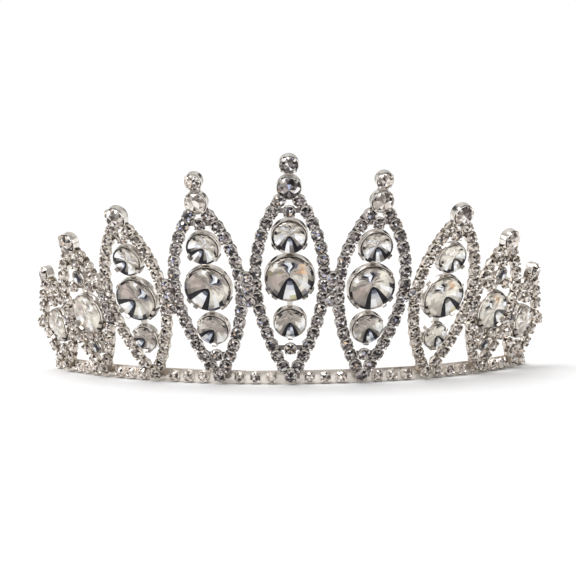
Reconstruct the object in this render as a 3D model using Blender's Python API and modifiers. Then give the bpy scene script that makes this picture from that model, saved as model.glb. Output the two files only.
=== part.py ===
# Bridal tiara: a curved headband carrying nine pointed-oval leaves of rhinestone cup chain.
# Metres, +Z up. The tiara stands on the band's lower edge and its front faces -Y, so +X is the right-hand
# side seen from the front. The origin is the middle of the band's underside at the front.
# Each leaf is built flat in its own plane, with X across, Y up the leaf and Z out of its face, and an
# empty carries that plane to its place round the band and tips it outwards.

import bmesh
import bpy
import math
from mathutils import Matrix, Vector

GAP = 0.0003                    # clearance between neighbouring pieces

BAND_RADIUS = 0.073             # to the middle of the strip's thickness
BAND_HEIGHT = 0.0036
BAND_THICKNESS = 0.0009
BAND_HALF_ANGLE = math.radians(63)
BAND_END_ROUNDING = 0.0016      # the strip's corners are rounded at both ends
BAND_CUP_RADIUS = 0.00145
BAND_CUP_DEPTH = 0.0015
BAND_CUP_SHARES = (0.27, 0.5, 0.73)     # where the band's cups sit, as shares of the way from leaf to leaf
BAND_END_CUP = 0.42             # one more beyond the last leaf at each end, in leaf steps

LEAF_STEP = math.radians(14)    # round the band from one leaf to the next
LEAF_FOOT = 0.0025              # height of the lowest chain cup, measured up the leaf
LEAF_STANDOFF = 0.0010          # from the band's front face to the leaf's middle plane
NAVETTE_FULLNESS = 0.7          # below 1 gives fuller shoulders than a plain sine

CHAIN_PITCH = 0.00345
CHAIN_DEPTH = 0.0022
CUP_HALF_WIDTH = 0.00165
LINK_HALF_WIDTH = 0.00120
CHAIN_TOP_DROP = 0.0015         # top of the chain below the middle of the lowest finial stone
OUTLINE_POINTS_PER_CUP = 3
CROSS_WIDTH = 0.0012            # bars that carry extra cups across the head and the foot of a leaf
BRIDGE_DROP = 0.0075            # the foot's bar below the lowest large stone

FINIAL_WALL = 0.0003            # cup wall outside the stone's edge
FINIAL_BORE = 0.0001            # how far the cup reaches in under the stone's edge
NECK_WIDTH = 0.0022

RING_OUTSIDE = 0.0005           # setting ring beyond the stone's edge
RING_INSIDE = 0.0009            # setting ring under the stone's edge
RING_SETBACK = 0.0010           # behind the stone's edge
RING_DEPTH = 0.0010
CLAW_THICKNESS = 0.0005
CLAW_WIDTH = 0.0009
CLAW_ABOVE_EDGE = 0.0006
STRUT_WIDTH = 0.0014
CRYSTAL_EDGE_PLANE = 0.0006     # height of a large stone's edge above the leaf's middle plane

# Crystals are (name, height up the leaf, diameter, claw directions in degrees); finials are
# (height up the leaf, diameter), lowest first. A rise above 1 lifts a leaf's widest place above half height.
UPPER_CLAWS = (215, 325)
MIDDLE_CLAWS = (40, 140, 220, 320)
LOWER_CLAWS = (35, 145, 270)
CENTRE = {
    "flare": 22, "half_width": 0.0086, "rise": 1.16,
    "crystals": (("upper", 0.0418, 0.0084, UPPER_CLAWS), ("middle", 0.0304, 0.0120, MIDDLE_CLAWS),
                 ("lower", 0.0180, 0.0078, LOWER_CLAWS)),
    "finials": ((0.0552, 0.0056), (0.0612, 0.0042)),
    "extra_cups": ("head", "foot"),
}
FIRST = {
    "flare": 22, "half_width": 0.0086, "rise": 1.16,
    "crystals": (("upper", 0.0386, 0.0080, UPPER_CLAWS), ("middle", 0.0275, 0.0116, MIDDLE_CLAWS),
                 ("lower", 0.0160, 0.0078, LOWER_CLAWS)),
    "finials": ((0.0512, 0.0053), (0.0568, 0.0039)),
    "extra_cups": ("head", "foot"),
}
SECOND = {
    "flare": 22, "half_width": 0.0084, "rise": 1.1,
    "crystals": (("upper", 0.0349, 0.0076, UPPER_CLAWS), ("middle", 0.0240, 0.0112, MIDDLE_CLAWS),
                 ("lower", 0.0129, 0.0065, LOWER_CLAWS)),
    "finials": ((0.0470, 0.0054),),
    "extra_cups": ("head",),
}
THIRD = {
    "flare": 18.3, "half_width": 0.0076, "rise": 1.1,
    "crystals": (("upper", 0.0286, 0.0036, ()), ("middle", 0.0185, 0.0102, MIDDLE_CLAWS),
                 ("lower", 0.0088, 0.0032, ())),
    "finials": ((0.0384, 0.0050),),
    "extra_cups": (),
}
END = {
    "flare": 12.7, "half_width": 0.0070, "rise": 0.97,
    "crystals": (("middle", 0.0134, 0.0086, MIDDLE_CLAWS),),
    "finials": ((0.0280, 0.0036),),
    "extra_cups": ("side",),
}

# Places round the band are in leaf steps; the two outer leaves at each end stand a little closer.
LEAVES = (
    ("left_4", -3.89, END), ("left_3", -2.96, THIRD), ("left_2", -2, SECOND), ("left_1", -1, FIRST),
    ("centre", 0, CENTRE),
    ("right_1", 1, FIRST), ("right_2", 2, SECOND), ("right_3", 2.96, THIRD), ("right_4", 3.89, END),
)


def clear_scene():
    for obj in list(bpy.data.objects):
        bpy.data.objects.remove(obj, do_unlink=True)


def new_collection(name):
    collection = bpy.data.collections.new(name)
    bpy.context.scene.collection.children.link(collection)
    return collection


def principled(name, color, roughness, metallic):
    material = bpy.data.materials.new(name)
    material.use_nodes = True
    shader = material.node_tree.nodes["Principled BSDF"]
    shader.inputs["Base Color"].default_value = (*color, 1)
    shader.inputs["Roughness"].default_value = roughness
    shader.inputs["Metallic"].default_value = metallic
    material.diffuse_color = (*color, 1)
    return material


def band_metal():
    return principled("band_metal", (0.80, 0.78, 0.75), 0.22, 1.0)


def frame_metal():
    return principled("frame_metal", (0.72, 0.70, 0.68), 0.25, 1.0)


def setting_metal():
    return principled("setting_metal", (0.82, 0.81, 0.79), 0.15, 1.0)


def crystal_glass():
    material = principled("crystal_glass", (0.93, 0.93, 0.94), 0.03, 0.0)
    material.node_tree.nodes["Principled BSDF"].inputs["IOR"].default_value = 1.56
    return material


def finial_glass():
    material = principled("finial_glass", (0.90, 0.90, 0.93), 0.05, 0.0)
    material.node_tree.nodes["Principled BSDF"].inputs["IOR"].default_value = 1.56
    return material


def add_object(name, mesh, collection, material=None):
    obj = bpy.data.objects.new(name, mesh)
    collection.objects.link(obj)
    if material and not mesh.materials:
        mesh.materials.append(material)
    return obj


def cylinder(radius, depth, sides, low):
    """A helper solid: a cylinder along Z whose lower end is at the height `low`."""
    mesh = bpy.data.meshes.new("cylinder")
    shape = bmesh.new()
    bmesh.ops.create_cone(shape, cap_ends=True, segments=sides, radius1=radius, radius2=radius, depth=depth)
    bmesh.ops.translate(shape, verts=shape.verts, vec=(0, 0, low + depth / 2))
    shape.to_mesh(mesh)
    shape.free()
    return mesh


def box(width, height, depth, low):
    """A helper solid: a box centred on X and Y whose lower end is at the height `low`."""
    mesh = bpy.data.meshes.new("box")
    shape = bmesh.new()
    bmesh.ops.create_cube(shape, size=1)
    bmesh.ops.scale(shape, verts=shape.verts, vec=(width, height, depth))
    bmesh.ops.translate(shape, verts=shape.verts, vec=(0, 0, low + depth / 2))
    shape.to_mesh(mesh)
    shape.free()
    return mesh


def helper(mesh, matrix, helpers):
    obj = bpy.data.objects.new("helper", mesh)
    helpers.objects.link(obj)
    obj.matrix_world = matrix
    obj.hide_render = True
    obj.display_type = "WIRE"
    return obj


def at(x, y, turn=0.0):
    return Matrix.Translation((x, y, 0)) @ Matrix.Rotation(turn, 4, "Z")


def combine(name, base, additions, cuts, helpers, collection, material):
    """One solid from a base mesh: every (mesh, matrix) in additions joined on, every one in cuts taken out."""
    obj = add_object(name, base, collection, material)
    for operation, shapes in (("UNION", additions), ("DIFFERENCE", cuts)):
        for mesh, matrix in shapes:
            modifier = obj.modifiers.new(operation.title(), "BOOLEAN")
            modifier.operation = operation
            modifier.object = helper(mesh, matrix, helpers)
    bpy.context.view_layer.update()
    graph = bpy.context.evaluated_depsgraph_get()
    finished = bpy.data.meshes.new_from_object(obj.evaluated_get(graph))
    obj.modifiers.clear()
    obj.data = finished
    finished.name = name
    for used in list(helpers.objects):
        bpy.data.objects.remove(used, do_unlink=True)
    finished.shade_smooth()
    finished.set_sharp_from_angle(angle=math.radians(35))
    return obj


def band_point(angle, height, radius=BAND_RADIUS):
    return Vector((radius * math.sin(angle), BAND_RADIUS - radius * math.cos(angle), height))


def band_strip():
    """The strip as an open curved sheet with rounded ends, given its thickness by Solidify."""
    columns, rows = 56, 4
    shape = bmesh.new()
    grid = []
    for i in range(columns + 1):
        # Columns crowd towards the ends, where the corners are round.
        along = math.sin(math.pi / 2 * (2 * i / columns - 1))
        angle = BAND_HALF_ANGLE * (0.6 * (2 * i / columns - 1) + 0.4 * along)
        inside = max(0.0, BAND_END_ROUNDING - BAND_RADIUS * (BAND_HALF_ANGLE - abs(angle)))
        shrink = BAND_END_ROUNDING - math.sqrt(BAND_END_ROUNDING ** 2 - inside ** 2)
        half = BAND_HEIGHT / 2 - shrink
        grid.append([shape.verts.new(band_point(angle, BAND_HEIGHT / 2 + half * (2 * j / rows - 1)))
                     for j in range(rows + 1)])
    for left, right in zip(grid, grid[1:]):
        for j in range(rows):
            shape.faces.new((left[j], right[j], right[j + 1], left[j + 1]))
    mesh = bpy.data.meshes.new("headband")
    shape.to_mesh(mesh)
    shape.free()
    return mesh


def band_cup_steps():
    """Places along the band, in leaf steps, of its own cups: between the leaves' feet, and one past them."""
    steps = [step for _, step, _ in LEAVES]
    places = [a + (b - a) * share for a, b in zip(steps, steps[1:]) for share in BAND_CUP_SHARES]
    return [steps[0] - BAND_END_CUP, *places, steps[-1] + BAND_END_CUP]


def make_headband(helpers, collection, material):
    """The strip with a row of small soldered cups along its front, left out where a leaf's foot stands."""
    obj = add_object("headband", band_strip(), collection, material)
    solidify = obj.modifiers.new("Thickness", "SOLIDIFY")
    solidify.thickness = BAND_THICKNESS
    solidify.offset = 0
    bpy.context.view_layer.update()
    strip = bpy.data.meshes.new_from_object(obj.evaluated_get(bpy.context.evaluated_depsgraph_get()))
    bpy.data.objects.remove(obj, do_unlink=True)

    cup = cylinder(BAND_CUP_RADIUS, BAND_CUP_DEPTH + BAND_THICKNESS / 2, 8, 0)
    places = []
    for step in band_cup_steps():
        angle = step * LEAF_STEP
        turn = Matrix.Rotation(angle, 4, "Z") @ Matrix.Rotation(math.pi / 2, 4, "X")
        places.append((cup, Matrix.Translation(band_point(angle, BAND_HEIGHT / 2)) @ turn))
    return combine("headband", strip, places, [], helpers, collection, material)


def leaf_plane(name, step, leaf, collection):
    """An empty whose X, Y and Z run across the leaf, up it and out of its face."""
    empty = bpy.data.objects.new("plane_" + name, None)
    collection.objects.link(empty)
    radius = BAND_RADIUS + BAND_THICKNESS / 2 + LEAF_STANDOFF
    empty.matrix_world = (
        Matrix.Translation((0, BAND_RADIUS, 0))
        @ Matrix.Rotation(step * LEAF_STEP, 4, "Z")
        @ Matrix.Translation((0, -radius, 0))
        @ Matrix.Rotation(math.pi / 2 + math.radians(leaf["flare"]), 4, "X")
    )
    return empty


def chain_top(leaf):
    return leaf["finials"][0][0] - CHAIN_TOP_DROP


def chain_half_width(leaf, height):
    """Half the distance between the leaf's two strands, centre to centre, at a height up the leaf."""
    t = (height - LEAF_FOOT) / (chain_top(leaf) - LEAF_FOOT)
    return leaf["half_width"] * max(0.0, math.sin(math.pi * t ** leaf["rise"])) ** NAVETTE_FULLNESS


def navette_side(leaf, samples=400):
    """The right half of the chain's centreline, from its foot to its top."""
    heights = [LEAF_FOOT + (chain_top(leaf) - LEAF_FOOT) * i / samples for i in range(samples + 1)]
    return [Vector((chain_half_width(leaf, height), height, 0)) for height in heights]


def even_points(points, count):
    """`count` points at equal distances along a closed line, the first on its first point."""
    closed = points + [points[0]]
    lengths = [0.0]
    for a, b in zip(closed, closed[1:]):
        lengths.append(lengths[-1] + (b - a).length)
    evenly = []
    k = 0
    for i in range(count):
        want = lengths[-1] * i / count
        while lengths[k + 1] < want:
            k += 1
        share = (want - lengths[k]) / (lengths[k + 1] - lengths[k])
        evenly.append(closed[k].lerp(closed[k + 1], share))
    return evenly


def chain_outlines(leaf):
    """The outlines of the loop of cup chain: the outer one pinched in at each link, the inner one plain."""
    side = navette_side(leaf)
    loop = side + [Vector((-p.x, p.y, 0)) for p in reversed(side[1:-1])]
    length = sum((b - a).length for a, b in zip(loop, loop[1:] + loop[:1]))
    cups = 2 * round(length / CHAIN_PITCH / 2)
    points = even_points(loop, cups * OUTLINE_POINTS_PER_CUP)
    outer, inner = [], []
    for i, point in enumerate(points):
        along = points[(i + 1) % len(points)] - points[i - 1]
        outward = Vector((along.y, -along.x, 0)).normalized()
        link = (i + OUTLINE_POINTS_PER_CUP // 2) % OUTLINE_POINTS_PER_CUP == 0
        outer.append(point + outward * (LINK_HALF_WIDTH if link else CUP_HALF_WIDTH))
        hole = point - outward * CUP_HALF_WIDTH
        if hole.x * point.x < 0 or abs(hole.x) < LINK_HALF_WIDTH / 2:
            continue
        if link or abs(hole.x) < CHAIN_PITCH:
            inner.append(hole)
    return outer, inner


def flat_plate(outlines, depth):
    """A closed mesh from a flat curve: the first outline's area less the others, centred on Z."""
    curve = bpy.data.curves.new("outline", "CURVE")
    curve.dimensions = "2D"
    curve.fill_mode = "BOTH"
    curve.extrude = depth / 2
    for outline in outlines:
        spline = curve.splines.new("POLY")
        spline.points.add(len(outline) - 1)
        for point, co in zip(spline.points, outline):
            point.co = (co.x, co.y, 0, 1)
        spline.use_cyclic_u = True
    obj = bpy.data.objects.new("outline", curve)
    bpy.context.scene.collection.objects.link(obj)
    bpy.context.view_layer.update()
    mesh = bpy.data.meshes.new_from_object(obj.evaluated_get(bpy.context.evaluated_depsgraph_get()))
    bpy.data.objects.remove(obj, do_unlink=True)
    shape = bmesh.new()
    shape.from_mesh(mesh)
    bmesh.ops.remove_doubles(shape, verts=shape.verts, dist=1e-6)
    bmesh.ops.recalc_face_normals(shape, faces=shape.faces)
    shape.to_mesh(mesh)
    shape.free()
    return mesh


def cross_cup(leaf, height):
    """One extra cup between the strands and the bar that carries it."""
    low = -CHAIN_DEPTH * 0.45
    bar = box(2 * chain_half_width(leaf, height), CROSS_WIDTH, CHAIN_DEPTH * 0.6, low)
    cup = cylinder(CUP_HALF_WIDTH, CHAIN_DEPTH * 0.9, 8, low)
    return [(bar, at(0, height)), (cup, at(0, height))]


def side_cup(leaf, outwards):
    """The cup on the outer side of an end leaf, level with its crystal."""
    height = leaf["crystals"][0][1]
    place = outwards * (chain_half_width(leaf, height) + 1.7 * CUP_HALF_WIDTH)
    return [(cylinder(CUP_HALF_WIDTH, CHAIN_DEPTH * 0.9, 8, -CHAIN_DEPTH * 0.45), at(place, height))]


def finial_cups(leaf):
    """(solids to join, solids to bore out) for the open cups of the finial stones and the neck between them."""
    low = -CHAIN_DEPTH / 2
    joined, bored = [], []
    for height, diameter in leaf["finials"]:
        joined.append((cylinder(diameter / 2 + FINIAL_WALL, CHAIN_DEPTH, 12, low), at(0, height)))
        bore = cylinder(diameter / 2 - FINIAL_BORE, 2 * CHAIN_DEPTH, 10, 2 * low)
        bored.append((bore, at(0, height)))
    if len(leaf["finials"]) == 2:
        (below, _), (above, _) = leaf["finials"]
        joined.append((box(NECK_WIDTH, above - below, CHAIN_DEPTH * 0.8, low * 0.8), at(0, (above + below) / 2)))
    return joined, bored


def make_frame(name, leaf, helpers, collection, material):
    """The loop of cup chain with its extra cups and the open cups of its finial stones."""
    joined, bored = finial_cups(leaf)
    highest, lowest = leaf["crystals"][0], leaf["crystals"][-1]
    if "head" in leaf["extra_cups"]:
        joined += cross_cup(leaf, highest[1] + highest[2] / 2 + RING_OUTSIDE + GAP + CUP_HALF_WIDTH)
    if "foot" in leaf["extra_cups"]:
        joined += cross_cup(leaf, lowest[1] - BRIDGE_DROP)
    if "side" in leaf["extra_cups"]:
        joined += side_cup(leaf, -1 if name.startswith("left") else 1)
    plate = flat_plate(chain_outlines(leaf), CHAIN_DEPTH)
    return combine("frame_" + name, plate, joined, bored, helpers, collection, material)


def make_setting(name, leaf, helpers, collection, material):
    """Open rings under the leaf's large stones, with struts between them and claws round each stone."""
    top = CRYSTAL_EDGE_PLANE - RING_SETBACK
    low = top - RING_DEPTH
    joined, bored = [], []
    for _, height, diameter, claws in leaf["crystals"]:
        outside = diameter / 2 + RING_OUTSIDE
        joined.append((cylinder(outside, RING_DEPTH, 14, low), at(0, height)))
        bored.append((cylinder(diameter / 2 - RING_INSIDE, 4 * RING_DEPTH, 10, low - RING_DEPTH), at(0, height)))
        claw = box(CLAW_THICKNESS, CLAW_WIDTH, RING_DEPTH + RING_SETBACK + CLAW_ABOVE_EDGE, low)
        for direction in claws:
            angle = math.radians(direction)
            reach = diameter / 2 + GAP + CLAW_THICKNESS / 2
            joined.append((claw, at(reach * math.cos(angle), height + reach * math.sin(angle), angle)))
    places = sorted((height, diameter / 2) for _, height, diameter, _ in leaf["crystals"])
    for (below, small), (above, large) in zip(places, places[1:]):
        start = below + small
        end = above - large
        strut = box(STRUT_WIDTH, end - start + 2 * RING_OUTSIDE, RING_DEPTH, low)
        joined.append((strut, at(0, (start + end) / 2)))
    base, matrix = joined.pop(0)
    base.transform(matrix)
    return combine("setting_" + name, base, joined, bored, helpers, collection, material)


def cut_stone(name, profile, sides, collection, material):
    """A stone turned from its profile of (radius, height) points, listed from its top to its lowest point."""
    mesh = bpy.data.meshes.new(name)
    mesh.from_pydata([(radius, 0, height) for radius, height in profile],
                     [(i, i + 1) for i in range(len(profile) - 1)], [])
    obj = add_object(name, mesh, collection, material)
    screw = obj.modifiers.new("Turn", "SCREW")
    screw.axis = "Z"
    screw.steps = sides
    screw.render_steps = sides
    screw.use_merge_vertices = True
    screw.merge_threshold = 0.00001
    screw.use_smooth_shade = False
    return obj


def pointed_profile(diameter):
    """A large crystal: faceted slopes to a low point in front, a thin edge, and a deeper point behind."""
    radius = diameter / 2
    edge = 0.02 * diameter
    return ((0, 0.19 * diameter), (0.55 * radius, 0.14 * diameter), (radius, edge),
            (radius, -edge), (0, -0.24 * diameter))


def chaton_profile(diameter):
    """A finial stone: a flat table, sloping crown, thin edge and a point behind."""
    radius = diameter / 2
    edge = 0.02 * diameter
    return ((0, 0.19 * diameter), (0.55 * radius, 0.19 * diameter), (radius, edge),
            (radius, -edge), (0, -0.30 * diameter))


def make_crystals(name, leaf, collection, material):
    stones = []
    for place, height, diameter, _ in leaf["crystals"]:
        stone = cut_stone(f"crystal_{name}_{place}", pointed_profile(diameter), 12, collection, material)
        stone.location = (0, height, CRYSTAL_EDGE_PLANE)
        stones.append(stone)
    return stones


def make_finials(name, leaf, collection, material):
    stones = []
    labels = ("",) if len(leaf["finials"]) == 1 else ("_lower", "_upper")
    for label, (height, diameter) in zip(labels, leaf["finials"]):
        stone = cut_stone(f"finial_{name}{label}", chaton_profile(diameter), 10, collection, material)
        stone.location = (0, height, CHAIN_DEPTH / 2 + GAP + 0.02 * diameter)
        stones.append(stone)
    return stones


def make_leaf(name, step, leaf, helpers, collection, metals, glasses):
    plane = leaf_plane(name, step, leaf, collection)
    pieces = [
        make_frame(name, leaf, helpers, collection, metals["frame"]),
        make_setting(name, leaf, helpers, collection, metals["setting"]),
        *make_crystals(name, leaf, collection, glasses["crystal"]),
        *make_finials(name, leaf, collection, glasses["finial"]),
    ]
    for piece in pieces:
        piece.parent = plane


def main():
    clear_scene()
    tiara = new_collection("bridal_tiara")
    helpers = new_collection("helpers")
    metals = {"frame": frame_metal(), "setting": setting_metal()}
    glasses = {"crystal": crystal_glass(), "finial": finial_glass()}
    make_headband(helpers, tiara, band_metal())
    for name, step, leaf in LEAVES:
        make_leaf(name, step, leaf, helpers, tiara, metals, glasses)


main()
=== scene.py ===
import math
import random

import bmesh
import bpy
import numpy as np
from mathutils import Matrix, Vector


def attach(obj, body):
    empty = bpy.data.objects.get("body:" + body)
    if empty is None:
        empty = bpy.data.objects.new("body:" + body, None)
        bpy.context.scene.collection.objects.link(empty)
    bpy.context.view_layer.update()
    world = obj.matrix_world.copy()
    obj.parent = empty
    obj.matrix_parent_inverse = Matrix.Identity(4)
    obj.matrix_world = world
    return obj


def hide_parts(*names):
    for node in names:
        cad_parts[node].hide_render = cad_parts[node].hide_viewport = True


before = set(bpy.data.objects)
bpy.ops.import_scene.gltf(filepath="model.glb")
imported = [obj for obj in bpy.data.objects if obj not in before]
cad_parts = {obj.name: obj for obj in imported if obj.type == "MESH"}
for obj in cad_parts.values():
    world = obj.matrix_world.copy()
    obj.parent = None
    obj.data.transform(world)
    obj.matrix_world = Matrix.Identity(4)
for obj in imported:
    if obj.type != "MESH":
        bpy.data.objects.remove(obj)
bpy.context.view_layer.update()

# Camera: straight in front of the centre leaf, a little above the band, looking slightly down.
cameraSettings = {
    "place": (0.0, -0.445, 0.0586),
    "pitchDown": 4.35,      # degrees
    "yawLeft": 0.06,
    "roll": 0.48,
    "lens": 108.9,
}


def makeCamera(s):
    data = bpy.data.cameras.new("camera")
    data.lens = s["lens"]
    data.clip_start = 0.02
    data.clip_end = 20
    camera = bpy.data.objects.new("camera", data)
    bpy.context.scene.collection.objects.link(camera)
    camera.matrix_world = (
        Matrix.Translation(s["place"])
        @ Matrix.Rotation(math.radians(s["yawLeft"]), 4, "Z")
        @ Matrix.Rotation(math.radians(90 - s["pitchDown"]), 4, "X")
        @ Matrix.Rotation(math.radians(-s["roll"]), 4, "Z")
    )
    bpy.context.scene.camera = camera


# Studio: an even white tent with a few dark flags, which give the stones something dark to reflect.
studioSettings = {
    "tent": (0.46, 0.45, 0.44),
    "backdrop": (1.0, 1.0, 1.0),
    "floor": (0.835, 0.835, 0.83),
    "floorRadius": 6.0,
    # direction, half angle in degrees, colour
    "lobes": [
        ((0.0, 1.0, 0.20), 62, (0.80, 0.79, 0.78)),       # the pale wall behind the tiara
        ((-0.25, -0.30, 0.90), 36, (2.9, 2.9, 2.95)),     # overhead softbox
        ((-0.95, 0.10, 0.30), 16, (1.6, 1.6, 1.65)),      # side panels
        ((0.90, 0.30, 0.35), 14, (1.4, 1.4, 1.4)),
        ((0.0, -1.0, 0.06), 11, (0.22, 0.21, 0.20)),      # the dark round the camera
        ((-0.60, -0.75, 0.30), 10, (0.04, 0.04, 0.05)),
        ((0.70, -0.62, 0.26), 10, (0.04, 0.04, 0.05)),
        ((0.35, -0.60, 0.62), 8, (0.03, 0.03, 0.03)),
        ((-0.45, -0.75, -0.25), 9, (0.03, 0.03, 0.03)),
        ((0.45, 0.75, 0.40), 12, (0.05, 0.05, 0.05)),
        ((-0.55, 0.65, 0.50), 12, (0.05, 0.05, 0.05)),
    ],
    "lobeEdge": 0.012,       # softness of a lobe's edge, in cosine
    "keyPower": 1.0,
    "keyPlace": (-0.55, -0.45, 0.75),
    "keySize": 0.45,
    "keyAim": (0.0, 0.03, 0.02),
}


def addNode(tree, kind, inputs=None, **settings):
    # an input takes a value or another node's output
    node = tree.nodes.new(kind)
    for key, value in settings.items():
        setattr(node, key, value)
    for key, source in (inputs or {}).items():
        if isinstance(source, bpy.types.NodeSocket):
            tree.links.new(source, node.inputs[key])
        else:
            node.inputs[key].default_value = source
    return node


def blendColours(tree, first, second, factor=1.0, mode="MIX"):
    inputs = {"Factor": factor, 6: first, 7: second}
    return addNode(tree, "ShaderNodeMix", inputs, data_type="RGBA", blend_type=mode).outputs[2]


def makeWorld(s):
    world = bpy.data.worlds.new("studio")
    bpy.context.scene.world = world
    world.use_nodes = True
    tree = world.node_tree
    tree.nodes.clear()
    coords = addNode(tree, "ShaderNodeTexCoord").outputs["Generated"]
    colour = (*s["tent"], 1)
    for direction, halfAngle, tone in s["lobes"]:
        aim = Vector(direction).normalized()
        middle = math.cos(math.radians(halfAngle))
        dot = addNode(tree, "ShaderNodeVectorMath", {0: coords, 1: aim}, operation="DOT_PRODUCT")
        limits = {"Value": dot.outputs["Value"], "From Min": middle - s["lobeEdge"],
                  "From Max": middle + s["lobeEdge"]}
        edge = addNode(tree, "ShaderNodeMapRange", limits, interpolation_type="SMOOTHSTEP")
        colour = blendColours(tree, colour, (*tone, 1), edge.outputs[0])
    lit = addNode(tree, "ShaderNodeBackground", {"Color": colour}).outputs[0]
    seen = addNode(tree, "ShaderNodeBackground", {"Color": (*s["backdrop"], 1)}).outputs[0]
    fromCamera = addNode(tree, "ShaderNodeLightPath").outputs["Is Camera Ray"]
    pick = addNode(tree, "ShaderNodeMixShader", {0: fromCamera, 1: lit, 2: seen})
    addNode(tree, "ShaderNodeOutputWorld", {"Surface": pick.outputs[0]})


def makeLight(s):
    data = bpy.data.lights.new("key", "AREA")
    data.shape = "SQUARE"
    data.size = s["keySize"]
    data.energy = s["keyPower"]
    light = bpy.data.objects.new("key", data)
    bpy.context.scene.collection.objects.link(light)
    place = Vector(s["keyPlace"])
    turn = (Vector(s["keyAim"]) - place).to_track_quat("-Z", "Y")
    light.matrix_world = Matrix.Translation(place) @ turn.to_matrix().to_4x4()


def makeFloor(s):
    # a wide disc
    shape = bmesh.new()
    bmesh.ops.create_circle(shape, cap_ends=True, segments=96, radius=s["floorRadius"])
    mesh = bpy.data.meshes.new("floor")
    shape.to_mesh(mesh)
    shape.free()
    floor = bpy.data.objects.new("floor", mesh)
    bpy.context.scene.collection.objects.link(floor)
    material, tree, shader = newMaterial("studioPaper", {"Roughness": 0.9, "Specular IOR Level": 0.1})
    grain = [(0.3, tuple(0.985 * c for c in s["floor"])), (0.7, s["floor"])]
    tint(tree, noise(tree, 900, 3), grain, shader.inputs["Base Color"])
    mesh.materials.append(material)


# Small helpers for the materials' nodes.
def newMaterial(name, values):
    material = bpy.data.materials.new(name)
    material.use_nodes = True
    tree = material.node_tree
    shader = tree.nodes["Principled BSDF"]
    for key, value in values.items():
        shader.inputs[key].default_value = value
    return material, tree, shader


def noise(tree, scale, detail, stretch=(1, 1, 1)):
    coords = addNode(tree, "ShaderNodeTexCoord").outputs["Object"]
    mapping = addNode(tree, "ShaderNodeMapping", {"Vector": coords, "Scale": stretch})
    inputs = {"Vector": mapping.outputs["Vector"], "Scale": scale, "Detail": detail}
    return addNode(tree, "ShaderNodeTexNoise", inputs).outputs["Fac"]


def tint(tree, source, stops, target=None, mode="LINEAR"):
    ramp = addNode(tree, "ShaderNodeValToRGB", {"Fac": source})
    ramp.color_ramp.interpolation = mode
    elements = ramp.color_ramp.elements
    while len(elements) < len(stops):
        elements.new(0.5)
    for element, (place, colour) in zip(elements, stops):
        element.position = place
        element.color = (*colour, 1)
    if target:
        tree.links.new(ramp.outputs["Color"], target)
    return ramp.outputs["Color"]


def remap(tree, source, target, low, high):
    inputs = {"Value": source, "From Min": 0.3, "From Max": 0.7, "To Min": low, "To Max": high}
    tree.links.new(addNode(tree, "ShaderNodeMapRange", inputs).outputs["Result"], target)


def fromAttribute(tree, name, output="Fac"):
    return addNode(tree, "ShaderNodeAttribute", attribute_name=name).outputs[output]


# Silver plate: bright and dull patches, a dark tone that is partly tarnish in hollows and partly painted
# shade under and between parts and on the low claws, fine handling scratches.
platedLooks = {
    "bandSilver": {"bright": (0.96, 0.91, 0.85), "dull": (0.84, 0.78, 0.72), "tarnishAndShade": (0.34, 0.30, 0.27),
                   "rough": (0.20, 0.34), "patch": 260, "scratch": 5200, "scratchStretch": (1, 1, 9)},
    "chainSilver": {"bright": (0.66, 0.62, 0.58), "dull": (0.42, 0.385, 0.355),
                    "tarnishAndShade": (0.06, 0.05, 0.05), "rough": (0.14, 0.30), "patch": 420, "scratch": 6200},
    # the chain silver as the outer leaves catch the light: a brighter, warmer painted-light copy
    "litChainSilver": {"bright": (0.78, 0.72, 0.64), "dull": (0.54, 0.48, 0.42), "tarnishAndShade": (0.12, 0.10, 0.09),
                   "rough": (0.14, 0.30), "patch": 420, "scratch": 6200},
    "bezelSilver": {"bright": (0.86, 0.82, 0.76), "dull": (0.60, 0.56, 0.51),
                    "tarnishAndShade": (0.14, 0.12, 0.11), "rough": (0.10, 0.24), "patch": 380, "scratch": 5600},
    "settingSilver": {"bright": (0.74, 0.70, 0.65), "dull": (0.50, 0.46, 0.42),
                      "tarnishAndShade": (0.12, 0.11, 0.10), "rough": (0.10, 0.22), "patch": 380, "scratch": 5600},
}


def platedMetal(name, look):
    material, tree, shader = newMaterial(name, {"Metallic": 1.0})
    patches = noise(tree, look["patch"], 4)
    plate = tint(tree, patches, [(0.35, look["dull"]), (0.62, look["bright"])])
    # painted shade and tarnish: the plate is blended towards its dark tone by each vertex's darkening
    # share
    tarnishedAndShaded = blendColours(tree, plate, (*look["tarnishAndShade"], 1), fromAttribute(tree, "tarnishAndShade"))
    tree.links.new(tarnishedAndShaded, shader.inputs["Base Color"])
    low, high = look["rough"]
    remap(tree, patches, shader.inputs["Roughness"], high, low)
    scratches = noise(tree, look["scratch"], 2, look.get("scratchStretch", (1, 1, 1)))
    bump = addNode(tree, "ShaderNodeBump", {"Height": scratches, "Strength": 0.12, "Distance": 0.00002})
    tree.links.new(bump.outputs["Normal"], shader.inputs["Normal"])
    return material


# Foiled glass with painted reflections: each facet gets a random tone for the light it throws back, from
# near black to white, with a rare painted flash of colour. A stop is where its tone starts, among facets
# sorted from 0 to 1, and the tone.
stoneTones = {
    "chainStoneGlass": [
        (0.00, (0.012, 0.010, 0.012)), (0.22, (0.075, 0.064, 0.070)), (0.40, (0.18, 0.155, 0.15)),
        (0.60, (0.34, 0.30, 0.285)), (0.78, (0.58, 0.53, 0.50)), (0.89, (0.88, 0.87, 0.87)),
        (0.95, (0.46, 0.50, 0.72)), (0.98, (0.72, 0.52, 0.36)),
    ],
    "bandStoneGlass": [
        (0.00, (0.05, 0.040, 0.038)), (0.12, (0.20, 0.165, 0.145)), (0.30, (0.42, 0.37, 0.33)),
        (0.55, (0.62, 0.56, 0.51)), (0.78, (0.84, 0.79, 0.74)), (0.92, (1.0, 0.99, 0.97)),
        (0.97, (0.74, 0.58, 0.44)),
    ],
}
glassCoat = {"Coat Roughness": 0.02, "Coat IOR": 1.56}


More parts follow.
